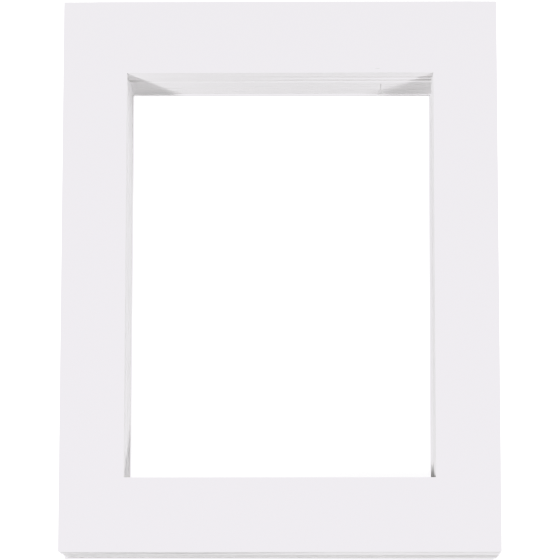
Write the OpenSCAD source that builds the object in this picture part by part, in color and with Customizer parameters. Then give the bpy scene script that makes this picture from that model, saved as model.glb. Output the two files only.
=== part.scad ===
// A pile of window mats: straight-cut picture mats of solid white board, lying face up on one another.
// X runs across the mats, Y up them and Z up the pile. The origin is at the middle of the pile's
// underside. Every mat is one loose piece, so every mat is a node of its own, mat_01 at the bottom.

/* [Mat] */
// Width of one mat over its outer edges
mat_w = 279.4; // [220:0.1:420]
// Height of one mat over its outer edges
mat_h = 355.6; // [290:0.1:520]
// Thickness of the board
board_t = 1.4; // [0.8:0.1:3]
// Width of the window cut through the board
window_w = 198; // [60:1:205]
// Height of the window cut through the board
window_h = 262; // [60:1:275]

/* [Pile] */
// How far the bundles lie out of square with each other: 0 is knocked up true, 1 is as set down
bundle_slip = 1; // [0:0.1:2]
// Furthest that one mat slips along X or Y within its bundle
mat_slip = 0.08; // [0:0.01:0.3]
// Furthest that one mat turns within its bundle, in degrees
mat_turn = 0.012; // [0:0.001:0.05]

/* [Hidden] */
BOARD_WHITE = [0.95, 0.95, 0.96];
CUT_PAST = 1; // how far a cutter runs past the board's faces

// The pile was set down in bundles, the lowest first: mats in it, slip along X and Y, turn in degrees
BUNDLES = [
    [3, -0.8, -0.3, -0.12],
    [17, 0.7, 0.15, -0.03],
    [5, 0.5, 0.2, -0.03],
    [4, 0.45, 0.2, -0.03],
    [3, 0.45, 0.4, 0.06],
    [4, -0.35, 0.2, -0.03],
    [4, -0.35, 0.27, 0.13],
    [10, 0, 0, 0]
];
// Places of those four figures in a bundle's row
COUNT = 0;
SLIP_X = 1;
SLIP_Y = 2;
TURN = 3;
// Degrees of sine from one mat to the next, chosen so that neighbours slip unlike each other
STEP_X = 137.5;
STEP_Y = 99.2;
STEP_TURN = 222.5;

function sum(list, i = 0) = i < len(list) ? list[i] + sum(list, i + 1) : 0;
MATS = sum([for (bundle = BUNDLES) bundle[COUNT]]);
function two_digits(i) = str(i < 10 ? "0" : "", i);
function mat_name(i) = str("mat_", two_digits(i + 1));

// The bundle that mat i belongs to, counting both from 0 at the bottom
function bundle_of(i, b = 0) =
    i < BUNDLES[b][COUNT] ? BUNDLES[b] : bundle_of(i - BUNDLES[b][COUNT], b + 1);

// Where mat i lies, [x, y, turn]: its bundle's place and a small slip of its own that never repeats
function lie(i) = let (bundle = bundle_of(i)) [
    bundle_slip * bundle[SLIP_X] + mat_slip * sin(STEP_X * i),
    bundle_slip * bundle[SLIP_Y] + mat_slip * cos(STEP_Y * i),
    bundle_slip * bundle[TURN] + mat_turn * sin(STEP_TURN * i)
];
LIES = [for (i = [0:MATS - 1]) lie(i)];

// Half of the room that a turned mat takes along X and along Y
function half_room(turn) = [
    (mat_w * cos(turn) + mat_h * abs(sin(turn))) / 2,
    (mat_h * cos(turn) + mat_w * abs(sin(turn))) / 2
];
// The middle of the whole pile along one axis, which is where the origin goes
function middle(axis) =
    (min([for (l = LIES) l[axis] - half_room(l[2])[axis]])
     + max([for (l = LIES) l[axis] + half_room(l[2])[axis]])) / 2;
MIDDLE = [middle(0), middle(1)];

// One flat mat about its own middle: a plain sheet of board with a square-edged window
module window_mat() {
    difference() {
        translate([-mat_w / 2, -mat_h / 2, 0]) cube([mat_w, mat_h, board_t]);
        translate([-window_w / 2, -window_h / 2, -CUT_PAST])
            cube([window_w, window_h, board_t + 2 * CUT_PAST]);
    }
}

// Mat i where it lies in the pile
module mat(i) {
    color(BOARD_WHITE)
        translate([LIES[i][0] - MIDDLE[0], LIES[i][1] - MIDDLE[1], i * board_t])
            rotate(LIES[i][2])
                window_mat();
}

for (i = [0:MATS - 1])
    mat(i);
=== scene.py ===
import bpy
import numpy as np
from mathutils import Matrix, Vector


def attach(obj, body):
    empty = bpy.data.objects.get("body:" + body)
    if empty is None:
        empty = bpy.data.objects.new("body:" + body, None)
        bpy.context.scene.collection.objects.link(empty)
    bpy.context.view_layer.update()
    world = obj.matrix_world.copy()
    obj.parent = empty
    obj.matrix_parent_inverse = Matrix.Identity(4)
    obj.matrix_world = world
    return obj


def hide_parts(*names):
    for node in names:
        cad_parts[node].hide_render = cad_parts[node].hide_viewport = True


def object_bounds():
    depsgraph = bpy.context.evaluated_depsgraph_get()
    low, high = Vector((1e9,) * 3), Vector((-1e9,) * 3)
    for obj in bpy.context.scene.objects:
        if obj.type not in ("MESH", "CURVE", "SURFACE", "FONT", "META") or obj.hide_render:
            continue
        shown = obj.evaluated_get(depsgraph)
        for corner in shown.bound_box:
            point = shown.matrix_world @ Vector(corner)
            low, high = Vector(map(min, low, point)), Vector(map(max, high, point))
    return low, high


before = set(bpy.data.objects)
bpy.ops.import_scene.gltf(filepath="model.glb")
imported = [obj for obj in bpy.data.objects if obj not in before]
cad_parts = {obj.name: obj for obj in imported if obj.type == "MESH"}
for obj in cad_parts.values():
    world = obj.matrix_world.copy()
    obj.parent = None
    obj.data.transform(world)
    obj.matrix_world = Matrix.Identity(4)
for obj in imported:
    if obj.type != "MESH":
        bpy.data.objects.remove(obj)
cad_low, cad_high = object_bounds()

# A pile of white picture mats, straight-cut from solid board and lying face up. Each mat is a loose
# piece of its own. The sizes and the lie of every mat are read from the CAD nodes.


# ---------------------------------------------------------------------------------------------
# The view. A long lens looks down on the pile from a little beyond its lower edge, so the inner
# wall at the top of the window and the outer wall at the bottom show. Bright tones roll off gently.
# ---------------------------------------------------------------------------------------------
EYE = Vector((0.0245, -0.3146, 1.9628))     # the lens's place, from the middle of the top face
AIM = (8.974, 0.702, 0.046)                 # the camera's tilt, lean and turn in degrees
KNEE = 0.674                                # tones are true up to here
SHOULDER = (0.872, 0.850, 0.885)            # and level out here in red, green and blue
TURN_UP, FULL_WHITE = 1.6, 2.6              # the light at which they rise again, and become white

view_camera = bpy.data.cameras.new("view")
view_camera.sensor_width = 36
view_camera.lens = 200
view_camera.clip_end = 60
camera = bpy.data.objects.new("camera", view_camera)
camera.location = Vector((0, 0, cad_high.z)) + EYE
camera.rotation_euler = np.radians(AIM)
bpy.context.collection.objects.link(camera)
bpy.context.scene.camera = camera

tones = bpy.context.scene.view_settings
tones.view_transform = "Standard"
tones.use_curve_mapping = True
tones.curve_mapping.white_level = (FULL_WHITE, FULL_WHITE, FULL_WHITE)
for curve, shoulder in zip(tones.curve_mapping.curves, SHOULDER):
    for light in np.linspace(KNEE, TURN_UP, 6):
        tone = KNEE + (shoulder - KNEE) * (1 - np.exp((KNEE - light) / (shoulder - KNEE)))
        curve.points.new(light / FULL_WHITE, tone)
tones.curve_mapping.update()


# ---------------------------------------------------------------------------------------------
# The room. Two softboxes hang over the pile's lower half and draw its shadows. Broad panels at
# the sides and the back fill the cut walls. All else is a little white air.
# ---------------------------------------------------------------------------------------------
PILE_MIDDLE = (cad_low + cad_high) / 2
AIR_STRENGTH = 0.01
BACKDROP_STRENGTH = 3.0


def lamp(name, direction, distance, width, power):
    """A square softbox that stands off from the pile along direction and faces the pile's middle."""
    light = bpy.data.lights.new(name, "AREA")
    light.shape = "SQUARE"
    light.size = width
    light.energy = power
    box = bpy.data.objects.new(name, light)
    away = Vector(direction).normalized()
    box.location = PILE_MIDDLE + away * distance
    box.rotation_euler = away.to_track_quat("Z", "Y").to_euler()
    box.visible_camera = False
    bpy.context.collection.objects.link(box)


lamp("left softbox", (-0.557, -0.333, 1), 1.115, 0.12, 12.1)
lamp("right softbox", (0.604, -0.767, 1), 1.726, 0.36, 19.0)
lamp("left panel", (-1, 0.45, 0.6), 1.2, 0.8, 2.3)
lamp("right panel", (1, 0.45, 0.6), 1.2, 0.8, 10.4)
lamp("back panel", (0.2, 1, 0.45), 1.4, 0.8, 3.5)

world = bpy.data.worlds.new("white room")
bpy.context.scene.world = world
world.use_nodes = True
room = world.node_tree
air = room.nodes["Background"]
air.inputs["Color"].default_value = (1, 1, 1, 1)
air.inputs["Strength"].default_value = AIR_STRENGTH
backdrop = room.nodes.new("ShaderNodeBackground")
backdrop.inputs["Color"].default_value = (1, 1, 1, 1)
backdrop.inputs["Strength"].default_value = BACKDROP_STRENGTH
ray = room.nodes.new("ShaderNodeLightPath")
either = room.nodes.new("ShaderNodeMixShader")
room.links.new(ray.outputs["Is Camera Ray"], either.inputs["Fac"])
room.links.new(air.outputs["Background"], either.inputs[1])
room.links.new(backdrop.outputs["Background"], either.inputs[2])
room.links.new(either.outputs["Shader"], room.nodes["World Output"].inputs["Surface"])


# ---------------------------------------------------------------------------------------------
# The floor. One wide white table under the pile, lit from below as a product table is, so that it
# stays nearly white in the pile's own shade, and is pure white further out.
# ---------------------------------------------------------------------------------------------
FLOOR_REACH = 15.0          # metres from the pile to the floor's edge
GLOW_OUT = (0.45, 1.6)      # the glow rises to full white between these distances from the pile
GLOW_SEEN = (2.3, 2.7)      # how bright it looks close to the pile, in full shade, and further out
TABLE_SEEN, TABLE_BOUNCE = 0.80, 0.06       # its white, and how much light it throws on the walls

floor_mesh = bpy.data.meshes.new("floor")
sides = ((-1, -1), (1, -1), (1, 1), (-1, 1))
floor_mesh.from_pydata([(x * FLOOR_REACH, y * FLOOR_REACH, 0) for x, y in sides], [], [(0, 1, 2, 3)])
floor = bpy.data.objects.new("floor", floor_mesh)
bpy.context.collection.objects.link(floor)
white_table = bpy.data.materials.new("white table")
white_table.use_nodes = True
top = white_table.node_tree
finish = top.nodes["Principled BSDF"]
finish.inputs["Roughness"].default_value = 0.9
finish.inputs["Emission Color"].default_value = (1, 1, 1, 1)
place = top.nodes.new("ShaderNodeTexCoord")
apart = top.nodes.new("ShaderNodeVectorMath")
apart.operation = "LENGTH"
top.links.new(place.outputs["Object"], apart.inputs[0])
rise = top.nodes.new("ShaderNodeMapRange")
rise.interpolation_type = "SMOOTHSTEP"
rise.inputs["From Min"].default_value, rise.inputs["From Max"].default_value = GLOW_OUT
rise.inputs["To Min"].default_value, rise.inputs["To Max"].default_value = GLOW_SEEN
top.links.new(apart.outputs["Value"], rise.inputs["Value"])
ray = top.nodes.new("ShaderNodeLightPath")
glow = top.nodes.new("ShaderNodeMath")
glow.operation = "MULTIPLY"
top.links.new(ray.outputs["Is Camera Ray"], glow.inputs[0])
top.links.new(rise.outputs["Result"], glow.inputs[1])
top.links.new(glow.outputs[0], finish.inputs["Emission Strength"])
whiteness = top.nodes.new("ShaderNodeMix")
whiteness.data_type = "RGBA"
whiteness.inputs[6].default_value = (TABLE_BOUNCE, TABLE_BOUNCE, TABLE_BOUNCE, 1)
whiteness.inputs[7].default_value = (TABLE_SEEN, TABLE_SEEN, TABLE_SEEN, 1)
top.links.new(ray.outputs["Is Camera Ray"], whiteness.inputs[0])
top.links.new(whiteness.outputs[2], finish.inputs["Base Color"])
floor_mesh.materials.append(white_table)


# ---------------------------------------------------------------------------------------------
# The mats' board. Solid white mat board: two smooth face papers over a core of pressed plies. The
# faces have a fine tooth and a faint cloudiness. The cuts show the plies' glue lines, torn fibre
# and the strokes that the blade leaves through a whole bundle at once.
# ---------------------------------------------------------------------------------------------
FACE_WHITE = ((0.742, 0.734, 0.748, 1), (0.757, 0.749, 0.762, 1))   # thick and thin of the cloud
CORE_WHITE = ((0.805, 0.787, 0.800, 1), (0.845, 0.827, 0.840, 1))   # painted shade: darker in the fibre's hollows, lighter on its tops
GLUE_WHITE = (0.70, 0.685, 0.68, 1)
GLUE_SHOWS = 0.35
HANDLED = (0.93, 0.925, 0.92, 1)            # what is left of the white at the outer edges
SHADE_GREY = (0.50, 0.49, 0.485, 1)        # painted shade: the grey of the darkest shade put into the colour
FACE_ROUGH, TOOTH_ROUGH, CUT_ROUGH = 0.66, 0.18, 0.12
RELIEF = 0.00003                            # metres of height in the bump
TOOTH, CLOUD = 0.0004, 0.030                # metres across one tooth and one cloud
PLIES = 4.0
DENT_SHADE_AT = (0.0631, 0.1335, 0.0700)         # painted shade of one small dent on the top mat's face
DENT_SHADE_REACH = (0.0018, 0.0005, 0.0008)      # and how far it runs each way


def node_group(name, inputs, outputs):
    """An empty shader group whose sockets are given as inputs {name: (kind, value)} and outputs
    {name: kind}; returned with what comes in and what goes out."""
    tree = bpy.data.node_groups.new(name, "ShaderNodeTree")
    for socket, (kind, value) in inputs.items():
        made = tree.interface.new_socket(socket, in_out="INPUT", socket_type=f"NodeSocket{kind}")
        if value is not None:
            made.default_value = value
    for socket, kind in outputs.items():
        tree.interface.new_socket(socket, in_out="OUTPUT", socket_type=f"NodeSocket{kind}")
    return tree, tree.nodes.new("NodeGroupInput").outputs, tree.nodes.new("NodeGroupOutput").inputs


def put(tree, kind, settings=(), **inputs):
    """A shader node with its settings, and each input linked from a socket or set to a value. An
    input is given by its name, or by i and its number."""
    node = tree.nodes.new(f"ShaderNode{kind}")
    for name, value in dict(settings).items():
        setattr(node, name, value)
    for name, value in inputs.items():
        socket = node.inputs[int(name[1:]) if name[0] == "i" and name[1:].isdigit() else name]
        if isinstance(value, bpy.types.NodeSocket):
            tree.links.new(value, socket)
        else:
            socket.default_value = value
    return node


def sums(tree, operation, *values):
    """The output of a Math node on the given values."""
    inputs = {f"i{number}": value for number, value in enumerate(values)}
    return put(tree, "Math", {"operation": operation}, **inputs).outputs[0]


def blend(tree, share, first, second, kind="MIX"):
    """The colour that is first where share is 0 and second (or second times first) where it is 1."""
    settings = {"data_type": "RGBA", "blend_type": kind}
    return put(tree, "Mix", settings, i0=share, i6=first, i7=second).outputs[2]


def spread(tree, value, low, high, to_low=0.0, to_high=1.0):
    """value carried smoothly from low..high to to_low..to_high."""
    node = put(tree, "MapRange", {"interpolation_type": "SMOOTHSTEP"},
               Value=value, i1=low, i2=high, i3=to_low, i4=to_high)
    return node.outputs[0]


def paper_tooth():
    """Uncoated paper: Height is its fine felt tooth, Cloud the uneven density seen against light."""
    tree, given, out = node_group(
        "paper tooth",
        {"Vector": ("Vector", None), "Tooth": ("Float", TOOTH), "Cloud Size": ("Float", CLOUD)},
        {"Height": "Float", "Cloud": "Float"},
    )
    per_tooth = sums(tree, "DIVIDE", 1.0, given["Tooth"])
    per_cloud = sums(tree, "DIVIDE", 1.0, given["Cloud Size"])
    felt = put(tree, "TexNoise", Vector=given["Vector"], Scale=per_tooth, Detail=4.0, Roughness=0.6)
    cloud = put(tree, "TexNoise", Vector=given["Vector"], Scale=per_cloud, Detail=5.0, Roughness=0.62)
    tree.links.new(felt.outputs["Fac"], out["Height"])
    tree.links.new(cloud.outputs["Fac"], out["Cloud"])
    return tree


def cut_board():
    """The cut side of board. Run is metres along the cut, Ply the height through the board from 0 to
    1, Sheet tells one mat from the next. Glue is the lines between plies, Fibre the torn fibre lying
    along them, and Stroke the blade's marks, which run straight down through every sheet."""
    tree, given, out = node_group(
        "cut board",
        {"Run": ("Float", 0.0), "Ply": ("Float", 0.0), "Sheet": ("Float", 0.0)},
        {"Glue": "Float", "Fibre": "Float", "Stroke": "Float"},
    )
    sheet = sums(tree, "MULTIPLY", given["Sheet"], 37.0)
    along = sums(tree, "MULTIPLY", given["Run"], 600.0)
    across = sums(tree, "MULTIPLY", given["Ply"], 14.0)
    lying = put(tree, "CombineXYZ", X=along, Y=across, Z=sheet)
    fibre = put(tree, "TexNoise", Vector=lying.outputs[0], Scale=1.0, Detail=5.0, Roughness=0.65)
    wander = put(tree, "TexNoise", {"noise_dimensions": "2D"}, Scale=0.25, Detail=2.0,
                 Vector=put(tree, "CombineXYZ", X=along, Y=sheet).outputs[0])
    shifted = sums(tree, "MULTIPLY_ADD", wander.outputs["Fac"], 0.10, given["Ply"])
    step = sums(tree, "FRACT", sums(tree, "MULTIPLY", shifted, PLIES))
    from_line = sums(tree, "ABSOLUTE", sums(tree, "SUBTRACT", step, 0.5))
    glue = spread(tree, from_line, 0.40, 0.49)
    down = put(tree, "CombineXYZ", X=sums(tree, "MULTIPLY", given["Run"], 1400.0),
               Y=sums(tree, "MULTIPLY", given["Ply"], 0.25))
    stroke = put(tree, "TexNoise", {"noise_dimensions": "2D"}, Vector=down.outputs[0], Scale=1.0,
                 Detail=3.0, Roughness=0.7)
    tree.links.new(glue, out["Glue"])
    tree.links.new(fibre.outputs["Fac"], out["Fibre"])
    tree.links.new(stroke.outputs["Fac"], out["Stroke"])
    return tree


def mat_board():
    """White mat board, from the groups above: faces where cut is 0, the cut side where it is 1, and
    darker by painted shade where the shade attribute is more than 0."""
    board = bpy.data.materials.new("white mat board")
    board.use_nodes = True
    tree = board.node_tree
    finish = tree.nodes["Principled BSDF"]
    place = put(tree, "TexCoord").outputs["Object"]
    read = {name: put(tree, "Attribute", {"attribute_name": name}).outputs["Fac"]
            for name in ("cut", "ply", "run", "sheet", "rim", "painted_shade")}
    cut = spread(tree, read["cut"], 0.25, 0.75)

    tooth = tree.nodes.new("ShaderNodeGroup")
    tooth.node_tree = paper_tooth()
    tree.links.new(place, tooth.inputs["Vector"])
    side = tree.nodes.new("ShaderNodeGroup")
    side.node_tree = cut_board()
    tree.links.new(read["run"], side.inputs["Run"])
    tree.links.new(read["ply"], side.inputs["Ply"])
    tree.links.new(read["sheet"], side.inputs["Sheet"])

    cloud = spread(tree, tooth.outputs["Cloud"], 0.3, 0.7)
    face_white = blend(tree, cloud, *FACE_WHITE)
    shade = spread(tree, side.outputs["Fibre"], 0.25, 0.75)
    core_white = blend(tree, shade, *CORE_WHITE)
    glue = sums(tree, "MULTIPLY", side.outputs["Glue"], GLUE_SHOWS)
    glued = blend(tree, glue, core_white, GLUE_WHITE)
    handled = blend(tree, read["rim"], glued, HANDLED, "MULTIPLY")
    colour = blend(tree, cut, face_white, handled)
    # Painted shade of a small dent on the top mat's face, darkening the colour there.
    away = put(tree, "VectorMath", {"operation": "SUBTRACT"}, i0=place, i1=DENT_SHADE_AT).outputs[0]
    reach = put(tree, "VectorMath", {"operation": "DIVIDE"}, i0=away, i1=DENT_SHADE_REACH).outputs[0]
    apart = put(tree, "VectorMath", {"operation": "LENGTH"}, i0=reach).outputs["Value"]
    dent_shade = spread(tree, apart, 0.7, 1.3, 0.65, 0.0)
    # Painted shade: gaps at the window's top corners, the nick's slit and a small dent are darkened in
    # the colour.
    painted_shade = sums(tree, "ADD", read["painted_shade"], dent_shade)
    shaded_colour = blend(tree, painted_shade, colour, SHADE_GREY, "MULTIPLY")
    tree.links.new(shaded_colour, finish.inputs["Base Color"])

    rough = sums(tree, "MULTIPLY_ADD", tooth.outputs["Height"], TOOTH_ROUGH, FACE_ROUGH)
    rough = sums(tree, "MULTIPLY_ADD", cut, CUT_ROUGH, rough)
    tree.links.new(rough, finish.inputs["Roughness"])

    face_height = sums(tree, "MULTIPLY", tooth.outputs["Height"], 0.30)
    torn = sums(tree, "MULTIPLY_ADD", side.outputs["Stroke"], 0.6, side.outputs["Fibre"])
    ridged = sums(tree, "MULTIPLY_ADD", side.outputs["Glue"], -0.4, torn)
    height = put(tree, "Mix", {"data_type": "FLOAT"}, i0=cut, i2=face_height, i3=ridged).outputs[0]
    bump = put(tree, "Bump", Height=height, Distance=RELIEF, Strength=0.8)
    tree.links.new(bump.outputs["Normal"], finish.inputs["Normal"])
    finish.inputs["Specular IOR Level"].default_value = 0.5
    return board


# ---------------------------------------------------------------------------------------------
# The window mats. Each is one sheet of board with a straight-cut window, laid down loose. The
# press of the blade rounds the arrises a little, corners get knocked, and a nick that held the
# waste piece in place is left on the window's edge.
# ---------------------------------------------------------------------------------------------
MM = 0.001
AIR_GAP = 0.02 * MM         # between one mat and the next
CORNER = 0.45 * MM          # radius left at an outer corner
WINDOW_CORNER = 0.12 * MM   # radius in a corner of the window
SOFT_TOP = 0.12 * MM        # radius of the arris round the face
SOFT_UNDER = 0.09 * MM      # radius of the arris round the underside
BLADE_WAVE = 0.03 * MM      # how far a whole bundle's cut wanders along its length
OWN_WAVE = BLADE_WAVE / 3   # and how far one mat's cut wanders from its bundle's
KNOCK = 0.16                # share of the thickness lost at a badly knocked corner
KNOCK_REACH = 3.5 * MM
NICK_AT = 65.0 * MM         # along the window's top edge, on the lower half of the mats only
PLAIN_AT = 62.2 * MM        # where the upper mats have as many extra points, but no nick
NICK_STRAY = 0.10 * MM      # and how far each mat's own place strays from there
NICK_DEEP, NICK_WIDE = 0.9 * MM, 0.20 * MM  # the slit torn where the waste piece broke off
NICK_ARRIS = 0.3 * MM                       # how far in from the edge the slit fades
BURR_TALL, BURR_OFF = 0.35 * MM, 0.50 * MM  # the burr left beside it, and how far to the side
# painted shade in the nick's slit, how dark at most
NICK_SHADE = 0.8
# Painted shade: the mats listed get dark lines on the window's wall at its top left and top right, in
# place of shadowed gaps between bundles.
CORNER_SHADE = {"mat_31": (0.6, 0), "mat_32": (1, 0), "mat_33": (0.8, 0), "mat_35": (0, 0.7),
          "mat_36": (0, 0.8), "mat_40": (0, 0.5), "mat_41": (0, 0.8)}
CORNER_SHADE_REACH = (8 * MM, 12 * MM)            # painted shade of the gaps between mats at the window's top left and top right
SLIP, TURN = 0.22 * MM, 0.0012              # a mat that lies off by more than this starts a bundle


def lie_of(node):
    """A mat's middle, turn, half sizes over its outer edge and its window, underside and thickness.
    The eight corners are the distinct points of the CAD node's outline, the outer four being the
    furthest from their common middle; each four is then put in order round the mat by angle."""
    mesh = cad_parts[node].data
    points = np.empty(3 * len(mesh.vertices))
    mesh.vertices.foreach_get("co", points)
    points = points.reshape(-1, 3)
    corners = np.unique(points[:, :2].round(5), axis=0)
    from_middle = corners - corners.mean(0)
    corners = corners[np.argsort(np.hypot(*from_middle.T))]

    def four(some):
        order = np.argsort(np.arctan2(*(some - some.mean(0)).T[::-1]))
        low_left, low_right, _, high_left = some[order]
        along, up = low_right - low_left, high_left - low_left
        return np.hypot(*along) / 2, np.hypot(*up) / 2, np.arctan2(along[1], along[0])

    window_x, window_y, _ = four(corners[:4])
    outer_x, outer_y, turn = four(corners[4:])
    under, top = points[:, 2].min(), points[:, 2].max()
    return {"middle": corners[4:].mean(0), "turn": turn, "outer": (outer_x, outer_y),
            "window": (window_x, window_y), "under": under, "thick": top - under}


def board_section(thick):
    """Once round the cut section, from under the window's edge: share from window (0) to outer edge
    (1), inset from the nearer edge, height. Walls are straight, arrises are quarter circles and both
    faces sink slightly towards their edges."""
    arc = np.linspace(0, np.pi / 2, 4)
    wall = np.linspace(SOFT_UNDER, thick - SOFT_TOP, 6)[1:-1]
    inset = np.concatenate([SOFT_UNDER * (1 - np.sin(arc)), 0 * wall, SOFT_TOP * (1 - np.cos(arc))])
    height = np.concatenate([SOFT_UNDER * (1 - np.cos(arc)), wall, thick - SOFT_TOP * (1 - np.sin(arc))])
    steps = np.array([0.6, 1.5, 3.5]) * MM
    dip = np.array([0.012, 0.004, 0]) * MM
    mid = np.array([0.35, 0.65])
    share = np.concatenate([0 * inset, 0 * steps, mid, 0 * steps + 1, 0 * inset + 1,
                            0 * steps + 1, mid[::-1], 0 * steps])
    from_rim = np.concatenate([inset, steps, 0 * mid, steps[::-1], inset[::-1],
                               steps, 0 * mid, steps[::-1]])
    face = np.concatenate([thick - dip, 0 * mid + thick, thick - dip[::-1]])
    under = np.concatenate([dip, 0 * mid, dip[::-1]])
    return share, from_rim, np.concatenate([height, face, height[::-1], under])


def way_round(nick_at, window_x):
    """Points once round a mat, the same for every rim: ax, ay say which corner's centre or how far
    between two of them, cx, cy which way is out. Points crowd towards corners, and round the nick."""
    arc = np.linspace(0, np.pi / 2, 5)
    even = (1 - np.cos(np.linspace(0, np.pi, 42))) / 2
    ax, ay, cx, cy = [], [], [], []
    for quarter, (start, end) in enumerate((((-1, -1), (1, -1)), ((1, -1), (1, 1)),
                                            ((1, 1), (-1, 1)), ((-1, 1), (-1, -1)))):
        angle = np.pi + quarter * np.pi / 2 + arc
        side = even[1:-1]
        if quarter == 2:
            spot = (1 - nick_at / window_x) / 2
            per_mm = MM / (2 * window_x)
            clear = side[abs(side - spot) > 2.2 * per_mm]
            side = np.sort(np.concatenate([clear, spot + np.linspace(-1.8, 1.8, 37) * per_mm]))
        ax += [np.full(5, start[0]), start[0] + (end[0] - start[0]) * side]
        ay += [np.full(5, start[1]), start[1] + (end[1] - start[1]) * side]
        out = np.pi + quarter * np.pi / 2 + np.pi / 2
        cx += [np.cos(angle), np.full(len(side), np.cos(out))]
        cy += [np.sin(angle), np.full(len(side), np.sin(out))]
    return [np.concatenate(part) for part in (ax, ay, cx, cy)]


def wave(run, rng, amplitude):
    """A gentle wander from 0 to amplitude along a cut: five sines of 6 to 90 mm, chance phases."""
    lengths = np.geomspace(6, 90, 5) * MM
    phases = rng.uniform(0, 2 * np.pi, 5)
    total = np.sin(2 * np.pi * run[..., None] / lengths + phases).sum(-1)
    return amplitude * (total / 10 + 0.5)


def mat_surface(lie, place, bundle_rng, own_rng):
    """A mat as the board's section carried round its rim. At each point of the way round, the rim's
    corner centre plus its radius outwards gives the window's and the outer edge's curves, inset by
    the section, and the section's share blends between the two. Cuts wander, corners are knocked."""
    thick = lie["thick"] - AIR_GAP
    share, inset, height = (part[:, None] for part in board_section(thick))
    ax, ay, cx, cy = (part[None, :] for part in way_round(place["nick_x"], lie["window"][0]))

    hx, hy = lie["outer"]
    steps = np.hypot(np.diff(ax[0] * hx), np.diff(ay[0] * hy))
    run = np.concatenate([[0], steps.cumsum()])[None, :]
    outer_in = inset + (wave(run, bundle_rng, BLADE_WAVE) + wave(run, own_rng, OWN_WAVE))
    radius = np.maximum(CORNER - inset, 0.02 * MM)
    outer = [a * (h - outer_in - radius) + radius * c for a, h, c in ((ax, hx, cx), (ay, hy, cy))]

    wx, wy = lie["window"]
    window_out = inset + wave(run, bundle_rng, BLADE_WAVE) + wave(run, own_rng, OWN_WAVE)
    on_top = (cy > 0.99) & (share < 0.5)
    from_slit = (ax * wx - place["nick_x"]) / NICK_WIDE
    from_burr = (ax * wx - place["nick_x"] - BURR_OFF) / NICK_WIDE
    nick = NICK_DEEP * np.exp(-(from_slit**2)) - BURR_TALL * np.exp(-(from_burr**2))
    window_out = window_out + place["nick"] * nick * on_top * np.exp(-inset / NICK_ARRIS)
    radius = WINDOW_CORNER + inset
    window = [a * (h + window_out - radius) + radius * c for a, h, c in ((ax, wx, cx), (ay, wy, cy))]

    x, y = ((1 - share) * w + share * o for w, o in zip(window, outer))
    knock = np.zeros_like(x)
    for corner, (sx, sy) in enumerate(((-1, -1), (1, -1), (1, 1), (-1, 1))):
        apart = np.hypot(x - sx * hx, y - sy * hy)
        knock += place["knocks"][corner] * np.exp(-((apart / KNOCK_REACH) ** 2))
    z = height * (1 - KNOCK * knock)
    cos, sin = np.cos(lie["turn"]), np.sin(lie["turn"])
    mid_x, mid_y = lie["middle"]
    at_x, at_y = mid_x + cos * x - sin * y, mid_y + sin * x + cos * y
    points = np.stack([at_x, at_y, lie["under"] + AIR_GAP / 2 + z], -1)

    above_under, below_top = height > SOFT_UNDER * 0.3, height < thick - SOFT_TOP * 0.3
    is_wall = (inset < SOFT_TOP * 0.4) & above_under & below_top
    from_corners = (1 + ax) * wx, (1 - ax) * wx
    # painted shade of the gaps at the window's top corners
    left, right = (amount * np.exp(-((apart / reach) ** 2)) for amount, apart, reach in
                   zip(place["corner_shade"], from_corners, CORNER_SHADE_REACH))
    # Painted shade darkens the nick's slit, a recess the lamps hardly reach.
    slit_shade = NICK_SHADE * place["nick"] * np.exp(-(from_slit**2))
    facts = {"cut": is_wall, "ply": height / thick, "run": run + 2 * share, "rim": share,
             "sheet": place["sheet"], "painted_shade": (left + right + slit_shade) * on_top * is_wall}
    return points, {fact: values + 0 * x for fact, values in facts.items()}


def skin(name, points, facts, material):
    """A closed mesh from a grid that wraps both ways, its quads facing outwards, with one float
    attribute for each of facts."""
    rows, columns, _ = points.shape
    number = np.arange(rows * columns).reshape(rows, columns)
    up, on = np.roll(number, -1, 0), np.roll(number, -1, 1)
    both = np.roll(up, -1, 1)
    quads = np.stack([number, up, both, on], -1).reshape(-1, 4)
    mesh = bpy.data.meshes.new(name)
    mesh.vertices.add(rows * columns)
    mesh.vertices.foreach_set("co", points.ravel())
    mesh.loops.add(quads.size)
    mesh.loops.foreach_set("vertex_index", quads.ravel())
    mesh.polygons.add(len(quads))
    mesh.polygons.foreach_set("loop_start", np.arange(0, quads.size, 4))
    mesh.polygons.foreach_set("loop_total", np.full(len(quads), 4))
    for fact, values in facts.items():
        mesh.attributes.new(fact, "FLOAT", "POINT").data.foreach_set("value", values.ravel())
    mesh.materials.append(material)
    mesh.update(calc_edges=True)
    mesh.validate()
    mesh.shade_smooth()
    piece = bpy.data.objects.new(name, mesh)
    bpy.context.collection.objects.link(piece)
    return piece


white_board = mat_board()
nodes = sorted(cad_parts)
lies = [lie_of(node) for node in nodes]
bundle = 0
for number, (node, lie) in enumerate(zip(nodes, lies)):
    last = lies[max(number - 1, 0)]
    slipped = np.hypot(*(lie["middle"] - last["middle"])) > SLIP
    bundle += bool(slipped or abs(lie["turn"] - last["turn"]) > TURN)
    own_rng = np.random.default_rng(1000 + number)
    bundle_rng = np.random.default_rng(40 + bundle)
    low_half = number < len(nodes) / 2
    place = {
        "sheet": number / len(nodes),
        "nick_x": (NICK_AT if low_half else PLAIN_AT) + own_rng.normal(0, NICK_STRAY),
        "nick": float(low_half),
        "corner_shade": CORNER_SHADE.get(node, (0, 0)),
        "knocks": own_rng.uniform(0, 1, 4) ** 4,
    }
    points, facts = mat_surface(lie, place, bundle_rng, own_rng)
    piece = skin(f"board_{node}", points, facts, white_board)
    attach(piece, node)
    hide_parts(node)
